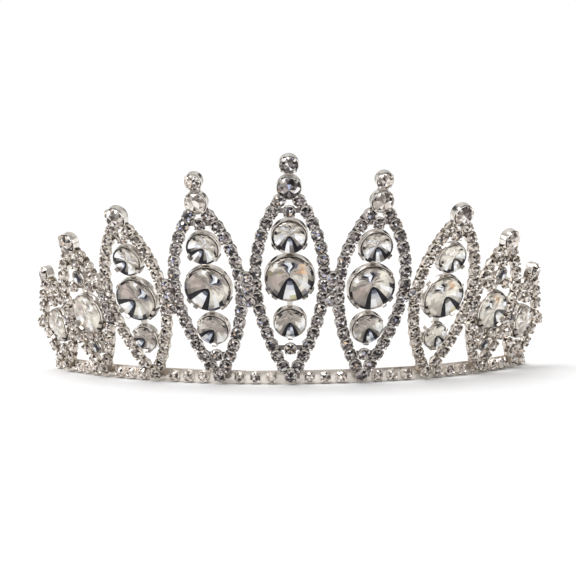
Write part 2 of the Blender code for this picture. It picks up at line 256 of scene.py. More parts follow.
def foiledGlass(name, stops):
    material, tree, shader = newMaterial(name, {"Metallic": 0.9, "Coat Weight": 0.6, **glassCoat})
    tint(tree, fromAttribute(tree, "facetTone"), stops, shader.inputs["Base Color"], "CONSTANT")
    remap(tree, noise(tree, 2400, 2), shader.inputs["Roughness"], 0.03, 0.10)
    return material


def pointedGlass(name):
    # each facet carries a painted reflection colour, under a faint cloudiness
    material, tree, shader = newMaterial(
        name, {"Metallic": 0.95, "IOR": 1.56, "Coat Weight": 0.10, **glassCoat})
    facet = fromAttribute(tree, "reflectedColour", "Color")
    veil = tint(tree, noise(tree, 420, 3), [(0.3, (0.88, 0.88, 0.88)), (0.7, (1.0, 1.0, 1.0))])
    tree.links.new(blendColours(tree, facet, veil, mode="MULTIPLY"), shader.inputs["Base Color"])
    remap(tree, noise(tree, 2600, 2), shader.inputs["Roughness"], 0.06, 0.16)
    return material


def mirrorFoil(name):
    material, tree, shader = newMaterial(name, {"Metallic": 1.0})
    tarnish = [(0.3, (0.62, 0.59, 0.56)), (0.7, (0.80, 0.78, 0.76))]
    tint(tree, noise(tree, 900, 3), tarnish, shader.inputs["Base Color"])
    remap(tree, noise(tree, 500, 3), shader.inputs["Roughness"], 0.05, 0.16)
    return material


makeCamera(cameraSettings)
makeWorld(studioSettings)
makeLight(studioSettings)
makeFloor(studioSettings)
silver = {name: platedMetal(name, look) for name, look in platedLooks.items()}
stoneGlass = {name: foiledGlass(name, stops) for name, stops in stoneTones.items()}
crystalGlass = pointedGlass("crystalGlass")
crystalFoil = mirrorFoil("crystalFoil")
print("studio, camera and finishes ready")


# Leaves. Each one's plane comes from its middle stone: X across it, Y up it, Z out of its face.
leafSettings = {
    "names": ["left_4", "left_3", "left_2", "left_1", "centre",
              "right_1", "right_2", "right_3", "right_4"],
    "edgeHeight": 0.0006,    # a large stone's edge above the leaf's middle plane
    # half the distance between a loop's two strands, and how far up the loop is widest
    "halfWidth": {"centre": 0.0086, "1": 0.0086, "2": 0.0084, "3": 0.0076, "4": 0.0070},
    "rise": {"centre": 1.16, "1": 1.16, "2": 1.1, "3": 1.1, "4": 0.97},
    "fullness": 0.7,
    "footHeight": 0.0025,    # lowest chain cup, up the leaf
    "topDrop": 0.0015,       # highest chain cup below the lowest round stone
    "samples": 400,          # points on a strand that the cups are spaced along
}


def stoneSeat(node):
    # (middle of the stone's edge, its diameter, the way it faces), read from the CAD solid
    points = np.array([tuple(v.co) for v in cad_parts[node].data.vertices])
    points = np.unique(np.round(points, 7), axis=0)
    middle = points.mean(0)
    facing = np.linalg.eigh(np.cov((points - middle).T))[1][:, 0]   # a stone is flattest along its axis
    if facing[2] > 0:
        facing = -facing
    offset = points - middle
    radius = np.linalg.norm(offset - np.outer(offset @ facing, facing), axis=1)
    edge = points[radius > 0.97 * radius.max()].mean(0)
    return Vector(edge), 2 * radius.max(), Vector(facing)


def leafPlane(name):
    edge, _, facing = stoneSeat("crystal_" + name + "_middle")
    across = Vector((0, 0, 1)).cross(facing).normalized()
    up = facing.cross(across)
    middle = edge - facing * leafSettings["edgeHeight"]
    foot = middle - up * (middle.z / up.z)
    plane = Matrix((across, up, facing)).transposed().to_4x4()
    plane.translation = foot
    return plane


def seatOnLeaf(plane, node):
    # (height up the leaf, height above its plane, diameter)
    edge, diameter, _ = stoneSeat(node)
    place = plane.inverted() @ edge
    return place.y, place.z, diameter


def readLeaf(name):
    plane = leafPlane(name)
    nodes = sorted(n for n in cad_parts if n.startswith("crystal_" + name))
    tops = sorted(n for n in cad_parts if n.startswith("finial_" + name))
    kind = name.split("_")[-1]
    leaf = {
        "name": name, "plane": plane, "kind": kind,
        "step": leafSettings["names"].index(name) - 4,
        "crystals": {n: seatOnLeaf(plane, n) for n in nodes},
        "tops": {n: seatOnLeaf(plane, n) for n in tops},
        "halfWidth": leafSettings["halfWidth"][kind], "rise": leafSettings["rise"][kind],
    }
    lowestTop = min(height for height, _, _ in leaf["tops"].values())
    leaf["chainTop"] = lowestTop - leafSettings["topDrop"]
    return leaf


def chainHalfWidth(leaf, height):
    foot = leafSettings["footHeight"]
    share = (height - foot) / (leaf["chainTop"] - foot)
    swell = max(0.0, math.sin(math.pi * share ** leaf["rise"]))
    return leaf["halfWidth"] * swell ** leafSettings["fullness"]


leaves = [readLeaf(name) for name in leafSettings["names"]]
print("leaves read:", ", ".join(leaf["name"] for leaf in leaves))


# Shapes are drawn in bmesh. Each vertex carries a darkening share from 0 on polished places to 1 on the
# darkest: partly tarnish in hollows, partly painted shade under and between parts and on the low claws.
def onCircle(radius, angle, height):
    return Vector((radius * math.cos(angle), radius * math.sin(angle), height))


def diagonal(k):
    return Matrix.Rotation(math.pi / 4 + k * math.pi / 2, 4, "Z")


def tarnishAndShadeLayer(shape):
    return shape.verts.layers.float.get("tarnishAndShade") or shape.verts.layers.float.new("tarnishAndShade")


def turned(shape, profile, segments, place=None, closed=False, turn=0.0):
    # profile is (radius, height, darkening share), from the bottom outside round to the top; the share is
    # painted shade and tarnish
    tarnishAndShade = tarnishAndShadeLayer(shape)
    place = place or Matrix.Identity(4)
    rings = []
    for radius, height, dull in profile:
        count = segments if radius > 1e-7 else 1
        ring = []
        for k in range(count):
            vert = shape.verts.new(place @ onCircle(radius, turn + 2 * math.pi * k / segments, height))
            vert[tarnishAndShade] = dull
            ring.append(vert)
        rings.append(ring)
    pairs = list(zip(rings, rings[1:])) + ([(rings[-1], rings[0])] if closed else [])
    for below, above in pairs:
        for k in range(segments):
            corners = [below[k % len(below)], below[(k + 1) % segments % len(below)],
                       above[(k + 1) % segments % len(above)], above[k % len(above)]]
            corners = list(dict.fromkeys(corners))
            if len(corners) > 2:
                shape.faces.new(corners)
    return rings


def strip(shape, line, width, thickness, place, taper=1.0, dull=0.0):
    # a flat strip along (radius, height) points in the XZ plane of `place`, its width across Y; `dull` is
    # its darkening share, painted shade and tarnish, fading to none at its far end
    tarnishAndShade = tarnishAndShadeLayer(shape)
    sections = []
    for i, (x, z) in enumerate(line):
        ahead = line[min(i + 1, len(line) - 1)]
        behind = line[max(i - 1, 0)]
        along = Vector((ahead[0] - behind[0], 0, ahead[1] - behind[1])).normalized()
        side = Vector((along.z, 0, -along.x))
        half = width / 2 * (1 + (taper - 1) * i / (len(line) - 1))
        section = []
        for y, t in ((-half, -0.5), (half, -0.5), (half, 0.5), (-half, 0.5)):
            vert = shape.verts.new(place @ (Vector((x, y, z)) + side * (t * thickness)))
            vert[tarnishAndShade] = dull * (1 - i / (len(line) - 1))
            section.append(vert)
        sections.append(section)
    for below, above in zip(sections, sections[1:]):
        for k in range(4):
            shape.faces.new((below[k], below[(k + 1) % 4], above[(k + 1) % 4], above[k]))
    shape.faces.new(sections[0][::-1])
    shape.faces.new(sections[-1])


# a box; `dull` is its darkening share, painted shade and tarnish
def bar(shape, low, high, place=None, dull=0.2):
    tarnishAndShade = tarnishAndShadeLayer(shape)
    made = bmesh.ops.create_cube(shape, size=1)["verts"]
    middle = (Vector(low) + Vector(high)) / 2
    size = Vector(high) - Vector(low)
    for vert in made:
        spot = Vector(a * b for a, b in zip(vert.co, size)) + middle
        vert.co = place @ spot if place else spot
        vert[tarnishAndShade] = dull


def smoothUpTo(mesh, degrees):
    mesh.shade_smooth()
    mesh.set_sharp_from_angle(angle=math.radians(degrees))


def finishMesh(shape, name, smoothAngle=None):
    bmesh.ops.recalc_face_normals(shape, faces=shape.faces)
    mesh = bpy.data.meshes.new(name)
    shape.to_mesh(mesh)
    shape.free()
    if smoothAngle:
        smoothUpTo(mesh, smoothAngle)
    return mesh


def addPiece(name, mesh, stands=(), materials=()):
    piece = bpy.data.objects.new(name, mesh)
    bpy.context.scene.collection.objects.link(piece)
    for material in materials:
        mesh.materials.append(material)
    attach(piece, "root")
    if stands:
        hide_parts(*stands)
    return piece


# Cup chain: a round claw cup, the tongue that links it to the next, and its small round stone.
cupSettings = {
    "chainSize": 1.04,       # the leaves' cups are spread a little to close up on each other
    "pitch": 0.00345,
    "radius": 0.00165,
    "back": -0.0011,
    "rim": 0.00035,
    "sides": 10,
    "clawWidth": 0.00060,
    "clawThickness": 0.00030,
    "clawTop": 0.00100,
    "clawReach": 0.00130,    # how far out a claw bends in over the stone
    "tongueWidth": 0.0020,
    "stoneRadius": 0.00142,
    "stoneEdge": 0.00036,
    "stoneCrown": 0.00054,
    "smoothAngle": 35,
    # how far the cups and stones stray, in radians, and the stones' sizes
    "cupTilt": 0.05,
    "loneCupTilt": 0.03,
    "stoneTilt": 0.10,
    "stoneTurn": 3.14,
    "stoneSpread": 0.02,
    "seed": 11,
    "stoneSeed": 51,
}


def cupShape(s, tongue=True):
    shape = bmesh.new()
    radius, rim, back = s["radius"], s["rim"], s["back"]
    # darker under the cup, inside it under the stone and on its claws and tongue: painted shade and
    # tarnish
    profile = [(0.72 * radius, back, 0.25), (radius, 0.4 * back, 0.05), (radius, rim, 0.0),
               (0.86 * radius, rim + 0.00008, 0.1), (0.80 * radius, 0.0, 1.0)]
    rings = turned(shape, profile, s["sides"], turn=math.pi / s["sides"])
    shape.faces.new(rings[0][::-1])
    shape.faces.new(rings[-1])
    line = [(0.97 * radius, 0.0), (0.95 * radius, 0.62 * s["clawTop"]),
            (s["clawReach"] * 0.72, s["clawTop"])]
    for k in range(4):
        strip(shape, line, s["clawWidth"], s["clawThickness"], diagonal(k), taper=0.7, dull=0.4)
    if tongue:
        bar(shape, (radius * 0.7, -s["tongueWidth"] / 2, 0.85 * back),
            (s["pitch"] - 0.7 * radius, s["tongueWidth"] / 2, 0.45 * back), dull=0.6)
    return finishMesh(shape, "cup", s["smoothAngle"])


def crownFacets(shape, radius, edge, crown, tableShare=0.56, sides=8, place=None):
    # a brilliant's upper half: a table in wedges, then star, kite and girdle facets; returns its edge
    place = place or Matrix.Identity(4)

    def ring(share, height, count, offset):
        angles = [2 * math.pi * (k + offset) / count for k in range(count)]
        spots = [onCircle(share * radius, angle, edge + height) for angle in angles]
        return [shape.verts.new(place @ spot) for spot in spots]
    table = ring(tableShare, crown, sides, 0)
    middle = ring((tableShare + 1.06) / 2, 0.56 * crown, sides, 0.5)
    girdle = ring(1.0, 0.0, 2 * sides, 0)
    centre = shape.verts.new(place @ Vector((0, 0, edge + crown)))
    for k in range(sides):
        after = (k + 1) % sides
        shape.faces.new((centre, table[k], table[after]))
        shape.faces.new((table[k], middle[k], table[after]))
        shape.faces.new((table[k], middle[k - 1], girdle[2 * k], middle[k]))
        shape.faces.new((middle[k], girdle[2 * k], girdle[2 * k + 1]))
        shape.faces.new((middle[k], girdle[2 * k + 1], girdle[(2 * k + 2) % (2 * sides)]))
    return girdle


def smallStoneShape(s):
    shape = bmesh.new()
    girdle = crownFacets(shape, s["stoneRadius"], s["stoneEdge"], s["stoneCrown"])
    shape.faces.new(girdle[::-1])
    return finishMesh(shape, "smallStone")


def settingRow():
    # sets a shape on each point of a mesh, turned to the point's `facing` and `along`
    tree = bpy.data.node_groups.new("settingRow", "GeometryNodeTree")
    face = tree.interface
    face.new_socket("Geometry", in_out="INPUT", socket_type="NodeSocketGeometry")
    inputs = [("Shape", "Object"), ("Size", "Float"), ("Size spread", "Float"), ("Turn spread", "Float"),
              ("Tilt spread", "Float"), ("Tone power", "Float"), ("Seed", "Int"), ("Finish", "Material")]
    for label, kind in inputs:
        face.new_socket(label, in_out="INPUT", socket_type="NodeSocket" + kind)
    face.new_socket("Geometry", in_out="OUTPUT", socket_type="NodeSocketGeometry")
    given = tree.nodes.new("NodeGroupInput").outputs
    facing, along = [addNode(tree, "GeometryNodeInputNamedAttribute", {"Name": name},
                             data_type="FLOAT_VECTOR").outputs[0] for name in ("facing", "along")]
    axes = addNode(tree, "FunctionNodeAxesToRotation", {0: facing, 1: along},
                   primary_axis="Z", secondary_axis="X")
    swing = addNode(tree, "FunctionNodeRandomValue",
                    {0: (-1, -1, -1), 1: (1, 1, 1), "Seed": given["Seed"]}, data_type="FLOAT_VECTOR")
    limits = addNode(tree, "ShaderNodeCombineXYZ",
                     {0: given["Tilt spread"], 1: given["Tilt spread"], 2: given["Turn spread"]})
    scaled = addNode(tree, "ShaderNodeVectorMath", {0: swing.outputs[0], 1: limits.outputs[0]},
                     operation="MULTIPLY")
    euler = addNode(tree, "FunctionNodeEulerToRotation", {0: scaled.outputs[0]})
    turn = addNode(tree, "FunctionNodeRotateRotation", {0: axes.outputs[0], 1: euler.outputs[0]},
                   rotation_space="LOCAL")
    grow = addNode(tree, "FunctionNodeRandomValue", {2: -1, 3: 1, "Seed": given["Seed"]},
                   data_type="FLOAT")
    share = addNode(tree, "ShaderNodeMath",
                    {0: grow.outputs[1], 1: given["Size spread"], 2: given["Size"]},
                    operation="MULTIPLY_ADD")
    shape = addNode(tree, "GeometryNodeObjectInfo", {0: given["Shape"]}, transform_space="ORIGINAL")
    place = addNode(tree, "GeometryNodeInstanceOnPoints", {
        "Points": given["Geometry"], "Instance": shape.outputs["Geometry"],
        "Rotation": turn.outputs[0], "Scale": share.outputs[0]})
    real = addNode(tree, "GeometryNodeRealizeInstances", {0: place.outputs[0]})
    # a random painted reflection tone for each facet
    tone = addNode(tree, "FunctionNodeRandomValue", {"Seed": given["Seed"]}, data_type="FLOAT")
    curve = addNode(tree, "ShaderNodeMath", {0: tone.outputs[1], 1: given["Tone power"]},
                    operation="POWER")
    store = addNode(tree, "GeometryNodeStoreNamedAttribute",
                    {0: real.outputs[0], "Name": "facetTone", "Value": curve.outputs[0]},
                    data_type="FLOAT", domain="FACE")
    finish = addNode(tree, "GeometryNodeSetMaterial", {0: store.outputs[0], "Material": given["Finish"]})
    addNode(tree, "NodeGroupOutput", {0: finish.outputs[0]})
    return tree


rowTree = settingRow()


def shapeObject(name, mesh):
    obj = bpy.data.objects.new(name, mesh)
    bpy.context.scene.collection.objects.link(obj)
    return obj


def setRow(places, shape, finish, seed, size=1.0, sizeSpread=0.0, turnSpread=0.0, tiltSpread=0.0,
           tonePower=1.0):
    # places are (point, facing, along); returns the plain mesh
    mesh = bpy.data.meshes.new("places")
    mesh.from_pydata([tuple(p) for p, _, _ in places], [], [])
    for name, column in (("facing", 1), ("along", 2)):
        layer = mesh.attributes.new(name, "FLOAT_VECTOR", "POINT")
        layer.data.foreach_set("vector", [c for row in places for c in row[column]])
    obj = shapeObject("row", mesh)
    modifier = obj.modifiers.new("Row", "NODES")
    modifier.node_group = rowTree
    values = {"Shape": shape, "Size": size, "Size spread": sizeSpread, "Turn spread": turnSpread,
              "Tilt spread": tiltSpread, "Tone power": tonePower, "Seed": seed, "Finish": finish}
    for item in rowTree.interface.items_tree:
        if item.in_out == "INPUT" and item.name in values:
            modifier[item.identifier] = values[item.name]
    bpy.context.view_layer.update()
    made = bpy.data.meshes.new_from_object(obj.evaluated_get(bpy.context.evaluated_depsgraph_get()))
    obj.modifiers.clear()
    bpy.data.objects.remove(obj, do_unlink=True)
    made.materials.clear()
    made.materials.append(finish)
    made.polygons.foreach_set("material_index", [0] * len(made.polygons))
    return made


def evenPoints(points, count):
    closed = points + [points[0]]
    lengths = np.cumsum([0.0] + [(b - a).length for a, b in zip(closed, closed[1:])])
    spots = []
    for i in range(count):
        want = lengths[-1] * i / count
        k = int(np.searchsorted(lengths, want, side="right")) - 1
        spots.append(closed[k].lerp(closed[k + 1], (want - lengths[k]) / (lengths[k + 1] - lengths[k])))
    return spots


def loopSpots(leaf):
    # where the chain's cups sit round the leaf, on its plane, and the way the chain runs there
    samples, foot, top = leafSettings["samples"], leafSettings["footHeight"], leaf["chainTop"]
    side = []
    for i in range(samples + 1):
        height = foot + (top - foot) * i / samples
        side.append(Vector((chainHalfWidth(leaf, height), height, 0)))
    loop = side + [Vector((-p.x, p.y, 0)) for p in reversed(side[1:-1])]
    length = sum((b - a).length for a, b in zip(loop, loop[1:] + loop[:1]))
    count = 2 * round(length / cupSettings["pitch"] / 2)
    spots = evenPoints(loop, count)
    return [(spot, (spots[(i + 1) % count] - spots[i - 1]).normalized()) for i, spot in enumerate(spots)]


# Single cups between a loop's strands, at its head and its foot, and round an end leaf's stone.
extraSettings = {
    "room": 0.00004,         # left free round a cup
    "ringGap": 0.0008,       # from a stone's edge to the outside of its setting
    "footDrop": 0.0075,      # from the lowest stone's middle down to the cup under it
    "headPair": (0.0031, -0.0026),   # out and up from the highest stone's middle
    "footPair": (0.0021, 0.0031),    # out and up from the lowest stone's middle
    "sideShare": 1.7,        # an end leaf's outer cup beyond the strand, in half cups
    "barInset": 0.0012,      # a bar's end inside the strand
    "barHalf": 0.0005,
    "barDepths": (-0.0010, -0.0002),
}


def extraSpots(leaf):
    s = extraSettings
    seats = sorted(leaf["crystals"].values())
    half, ringGap = cupSettings["radius"] + s["room"], s["ringGap"]
    across = Vector((1, 0, 0))
    spots = []
    if leaf["kind"] in ("centre", "1", "2"):
        height, _, diameter = seats[-1]
        spots.append((Vector((0, height + diameter / 2 + ringGap + half, 0)), across))
    if leaf["kind"] in ("centre", "1"):
        spots.append((Vector((0, seats[0][0] - s["footDrop"], 0)), across))
    if leaf["kind"] == "3":
        high, _, highWide = seats[-1]
        spots.append((Vector((0, high + highWide / 2 + ringGap / 2 + half, 0)), across))
        for side in (-1, 1):
            for (out, up), middle in ((s["headPair"], high), (s["footPair"], seats[0][0])):
                spots.append((Vector((side * out, middle + up, 0)), across))
    if leaf["kind"] == "4":
        height = seats[0][0]
        side = math.copysign(chainHalfWidth(leaf, height) + s["sideShare"] * half, leaf["step"])
        spots.append((Vector((side, height, 0)), Vector((0, 1, 0))))
        ring = seats[0][2] / 2 + ringGap + half
        spots += [(Vector((0, height + rise, 0)), across) for rise in (ring, ring + 2 * half, -ring)]
    return spots


cupObject = shapeObject("cup", cupShape(cupSettings))
loneCupObject = shapeObject("loneCup", cupShape(cupSettings, tongue=False))
smallStoneObject = shapeObject("smallStone", smallStoneShape(cupSettings))


def joinMeshes(name, meshes, finishes):
    # one mesh of several, each keeping its own finish
    shape = bmesh.new()
    used = list(dict.fromkeys(finishes))
    for mesh, finish in zip(meshes, finishes):
        mesh.polygons.foreach_set("material_index", [used.index(finish)] * len(mesh.polygons))
        shape.from_mesh(mesh)
    joined = bpy.data.meshes.new(name)
    shape.to_mesh(joined)
    shape.free()
    for material in used:
        joined.materials.append(material)
    return joined


# Round stones at the top: an open cup with a bead rim, four claws, and a short neck between two of them.
topSettings = {
    "wall": 0.0003,
    "sides": 24,
    "rimBead": 0.00012,
    "depth": 0.0022,
    "clawRise": 0.10,        # above the stone's edge, as a share of the diameter
    "clawWidth": 0.0007,
    "clawThickness": 0.00028,
    "neckWidth": 0.0022,
    "crown": 0.19,           # table above the edge, as a share of the diameter
    "pavilion": 0.30,
    "tableShare": 0.55,
    "crownSides": 10,
}


def topCups(shape, leaf, s):
    seats = sorted(leaf["tops"].values())
    for height, edge, diameter in seats:
        outside = diameter / 2 + s["wall"]
        inside = diameter / 2 - 0.0001
        low, top = -s["depth"] / 2, s["depth"] / 2
        bead = s["rimBead"]
        # darker underneath and deep inside the cup: painted shade and tarnish
        profile = [(inside * 0.86, low, 0.3), (outside * 0.93, low, 0.1), (outside, low + 0.0004, 0.0),
                   (outside, top - bead, 0.0), (outside + 0.3 * bead, top, 0.0),
                   (outside - bead, top + bead, 0.0), (inside, top, 0.2),
                   (inside * 0.94, top - 0.0009, 1.0), (inside * 0.86, low + 0.0002, 1.0)]
        middle = Matrix.Translation((0, height, 0))
        turned(shape, profile, s["sides"], middle, closed=True)
        clawTop = edge + s["clawRise"] * diameter
        line = [(outside - 0.0001, top - 0.0006), (outside, edge - 0.0001),
                (outside - 0.0001, edge + 0.0002), (outside - 0.0007, clawTop)]
        for k in range(4):
            strip(shape, line, s["clawWidth"], s["clawThickness"], middle @ diagonal(k), taper=0.6)
    if len(seats) == 2:
        (below, _, low), (above, _, high) = seats
        half = s["neckWidth"] / 2
        # the neck is painted mostly dark: painted shade between the cups
        bar(shape, (-half, below + 0.46 * low, -0.0009), (half, above - 0.46 * high, 0.0009), dull=0.7)


# The outer leaves get a brighter, warmer painted-light copy of the chain silver and paler stones than the
# middle three, for how they catch the light.
middleLook = {"metal": "chainSilver", "stones": "chainStoneGlass", "tops": "bandStoneGlass"}
outerLook = {"metal": "litChainSilver", "stones": "bandStoneGlass", "tops": "bandStoneGlass"}
# a power over 1 darkens the stones; the powers differ by leaf as painted shade and light
chainFinishes = {
    "centre": {**middleLook, "tops": "chainStoneGlass", "power": 1.6},
    "1": {**middleLook, "power": 1.2},
    "2": {**outerLook, "power": 1.7},
    "3": {**outerLook, "power": 1.25},
    "4": {**outerLook, "power": 1.1},
}


def makeChain(leaf):
    s = chainFinishes[leaf["kind"]]
    plane = leaf["plane"]
    turn = plane.to_3x3()
    facing = turn @ Vector((0, 0, 1))
    loop = [(plane @ spot, facing, turn @ along) for spot, along in loopSpots(leaf)]
    extras = [(plane @ spot, facing, turn @ along) for spot, along in extraSpots(leaf)]
    cups = cupSettings
    seed, size = cups["seed"] + leaf["step"], cups["chainSize"]
    metal = silver[s["metal"]]
    rows = [setRow(loop, cupObject, metal, seed, size, tiltSpread=cups["cupTilt"])]
    if extras:
        rows.append(setRow(extras, loneCupObject, metal, seed, tiltSpread=cups["loneCupTilt"]))
    shape = bmesh.new()
    # a bar carries each cup that hangs between the strands; the bars are painted mostly dark, as shade
    # behind the cups
    inside = {spot.y for spot, _ in extraSpots(leaf) if abs(spot.x) < chainHalfWidth(leaf, spot.y)}
    barHalf, (barBack, barFront) = extraSettings["barHalf"], extraSettings["barDepths"]
    for height in sorted(inside):
        half = chainHalfWidth(leaf, height) - extraSettings["barInset"]
        bar(shape, (-half, height - barHalf, barBack), (half, height + barHalf, barFront), dull=0.8)
    topShape = bmesh.new()
    topCups(topShape, leaf, topSettings)
    for solder in (finishMesh(shape, "bars"), finishMesh(topShape, "top")):
        solder.transform(plane)
        rows.append(solder)
    finishes = [metal] * (len(rows) - 1) + [silver["bezelSilver"]]
    mesh = joinMeshes("chain_" + leaf["name"], rows, finishes)
    smoothUpTo(mesh, cups["smoothAngle"])
    addPiece("chain_" + leaf["name"], mesh, ["frame_" + leaf["name"]])
    stones = setRow(loop + extras, smallStoneObject, stoneGlass[s["stones"]],
                    cups["stoneSeed"] + leaf["step"], size, cups["stoneSpread"],
                    cups["stoneTurn"], cups["stoneTilt"], s["power"])
    addPiece("chain_stones_" + leaf["name"], stones)


def addLoneCups(name, places, metal, glass, s):
    # rows of single cups and the stones in them
    cups = setRow(places, loneCupObject, silver[metal], s["cupSeed"], s["cupSize"],
                  tiltSpread=s["cupTilt"])
    smoothUpTo(cups, cupSettings["smoothAngle"])
    addPiece(name + "_cups", cups)
    stones = setRow(places, smallStoneObject, stoneGlass[glass], s["stoneSeed"], s["cupSize"],
                    turnSpread=cupSettings["stoneTurn"], tiltSpread=s["stoneTilt"])
    addPiece(name + "_stones", stones)


# Single cups soldered over the joints where two leaves touch.
jointSettings = {
    "samples": 40,
    "low": 0.3,              # the leaves can touch between these shares of their height
    "high": 0.8,
    "steps": (-0.0033, 0.0, 0.0033),   # the cups' places up and down the joint
    "singles": ("left_4", "right_1", "right_2", "right_3"),   # joints to the right of these have one cup
    "forward": 0.0009,       # a cup stands this far in front of the strands
    "cupSize": 1.0,
    "cupTilt": 0.06,
    "stoneTilt": 0.1,
    "cupSeed": 5,
    "stoneSeed": 45,
}


def strandPoint(leaf, side, height):
    return leaf["plane"] @ Vector((side * chainHalfWidth(leaf, height), height, 0))


def jointPlaces(left, right, s):
    shares = np.linspace(s["low"], s["high"], s["samples"])
    pairs = [(a, b) for a in shares * left["chainTop"] for b in shares * right["chainTop"]]
    gaps = [(strandPoint(left, 1, a) - strandPoint(right, -1, b)).length for a, b in pairs]
    a, b = pairs[gaps.index(min(gaps))]
    faces = [leaf["plane"].to_3x3() @ Vector((0, 0, 1)) for leaf in (left, right)]
    facing = (faces[0] + faces[1]).normalized()
    along = Vector((0, 0, 1)).cross(facing).cross(facing).normalized()
    steps = (0.0,) if left["name"] in s["singles"] else s["steps"]
    places = []
    for step in steps:
        middle = (strandPoint(left, 1, a + step) + strandPoint(right, -1, b + step)) / 2
        places.append((middle + s["forward"] * facing, facing, along))
    return places


jointRow = [place for left, right in zip(leaves, leaves[1:])
            for place in jointPlaces(left, right, jointSettings)]
addLoneCups("joint", jointRow, "chainSilver", "chainStoneGlass", jointSettings)
print("joints made")


# Settings of the large stones: a rounded ring with a thin seat under the edge, claws and short necks.
settingSettings = {
    "ringOutside": 0.0005,
    "ringInside": 0.0009,
    "ringTop": -0.0004,
    "ringLow": -0.0014,
    "round": 0.00022,
    "lipTop": 0.00035,
    "segments": 48,
    "claw": (0.0009, 0.00035),       # width and thickness
    "lowClaw": (0.0015, 0.0007),
    "clawsOver": 0.0025,     # stones with a smaller radius have no claws of their own
    "neckWidth": 0.0014,
    # degrees round the stone, from its right-hand side; those past 180 are the broad low ones, which are
    # painted dark as shade
    "claws": {"upper": (215, 325), "middle": (40, 140, 212, 233, 307, 328), "lower": (35, 145, 270)},
}


def ringProfile(radius, s):
    outside, inside = radius + s["ringOutside"], radius - s["ringInside"]
    low, top, r = s["ringLow"], s["ringTop"], s["round"]
    lip = s["lipTop"]
    # darker underneath, at the seat and inside the ring: painted shade and tarnish
    return [(inside + r, low, 0.4), (outside - r, low, 0.2), (outside, low + r, 0.0),
            (outside, top, 0.0), (outside - 0.00014, lip, 0.0), (outside - 0.0003, lip + 0.00008, 0.0),
            (outside - 0.00044, lip, 0.1), (outside - 0.00048, top, 0.3), (inside + r, top, 0.6),
            (inside, top - r, 0.5), (inside, low + r, 0.5)]


def makeSetting(leaf):
    s = settingSettings
    shape = bmesh.new()
    seats = []
    for node, (height, edge, diameter) in leaf["crystals"].items():
        position = node.split("_")[-1]
        radius = diameter / 2
        middle = Matrix.Translation((0, height, 0))
        turned(shape, ringProfile(radius, s), s["segments"], middle, closed=True)
        seats.append((height, radius))
        if radius < s["clawsOver"]:
            continue
        for direction in s["claws"][position]:
            place = middle @ Matrix.Rotation(math.radians(direction), 4, "Z")
            out = radius + 0.0004
            low = direction > 180
            line = [(out - 0.0001, s["ringLow"] + 0.0002), (out, s["ringTop"]), (out, edge + 0.0001),
                    (out - 0.0002, edge + 0.0004), (out - 0.0007, edge + 0.0007)]
            width, thickness = s["lowClaw"] if low else s["claw"]
            # the low claws take the full dark tone, painted shade; the upper ones stay bright
            strip(shape, line, width, thickness, place, taper=0.7, dull=1.0 if low else 0.0)
    seats.sort()
    for (below, small), (above, large) in zip(seats, seats[1:]):
        half = s["neckWidth"] / 2
        bar(shape, (-half, below + small, s["ringLow"] + 0.0001),
            (half, above - large, s["ringTop"] - 0.0001))
    mesh = finishMesh(shape, "setting_" + leaf["name"], 40)
    mesh.transform(leaf["plane"])
    mesh.materials.append(silver["settingSilver"])
    addPiece("claw_setting_" + leaf["name"], mesh, ["setting_" + leaf["name"]])


# Large stones: foiled glass cut to a low point in front. Each facet's colour is a painted reflection,
# from dark reflected shade to white and ice highlights.
# tones of the painted reflections: dark for reflected shade, light for highlights
crystalTones = {
    "K": (0.012, 0.011, 0.016),     # ink
    "S": (0.10, 0.11, 0.15),        # slate
    "M": (0.22, 0.20, 0.18),        # smoke
    "O": (0.26, 0.24, 0.12),        # olive
    "B": (0.40, 0.36, 0.32),        # beige
    "P": (0.46, 0.39, 0.35),        # blush
    "A": (0.56, 0.36, 0.22),        # amber
    "C": (0.72, 0.68, 0.60),        # cream
    "Y": (0.80, 0.75, 0.42),        # straw
    "I": (0.76, 0.80, 0.92),        # ice
    "W": (0.96, 0.96, 0.96),        # white
}
# painted reflections: one row for each ring from the middle out, one letter for each cell from the top
# round by the left
crystalReflections = {
    "middle": ["MMBBBBBBBBKKKKCBBBBBBBMM",
               "ISBBBBBPPBKSSKCCCBBBBBSI",
               "WSMBBOPPPBKWIKCWCBABBMSI",
               "IKMCBMPPPBKWWKCWCCAABSKW",
               "BMBWCOPBBMKWYKMWKBCCABMB",
               "BBMCBMKMSKKBPKSKKMKMCBBB"],
    "lower": ["BBBBBBBBBBKKKKBBBBBBBBBB",
              "BBBBBBBBBMKKSKMBBBBBBBBB",
              "BBPBBBBBBMKSIKMCCBBBBBBB",
              "BBBPBBBBCMKWIKMWWCBBPBBB",
              "MMBKMBBWCBKWSKBWWWCBMKBM",
              "BBMMBBCWMBKWIKBBWCWBMMBB"],
    "upper": ["CBBBCBBCBBKKKKBBCBBBCBBC",
              "BCBICBBCIBKSSKBICBBCIBCB",
              "CIBCBCBIWMKWIKMWICBBCIBC",
              "BCICBMCWWMKWMKMWWCMBCBCB",
              "CBMBCKCWWKKWMKKWWCKBCMBC",
              "BCBBBMKKKKCWMKKKKMBBBBCB"],
    "small": ["SKSSKKSKSSIWWISSKSKKSSKS",
              "KSKKSKKSKSIWWISKSKKSKKSK",
              "KKSKKMKKSKIWIISKKMKKSKKS",
              "BKMKKSKMKBCWICBKMKSKKMKB",
              "BMBKMBKBMBCBBCBMBKBMKBMB",
              "BBMBBCBBMBBCCBBMBBCBBMBB"],
}
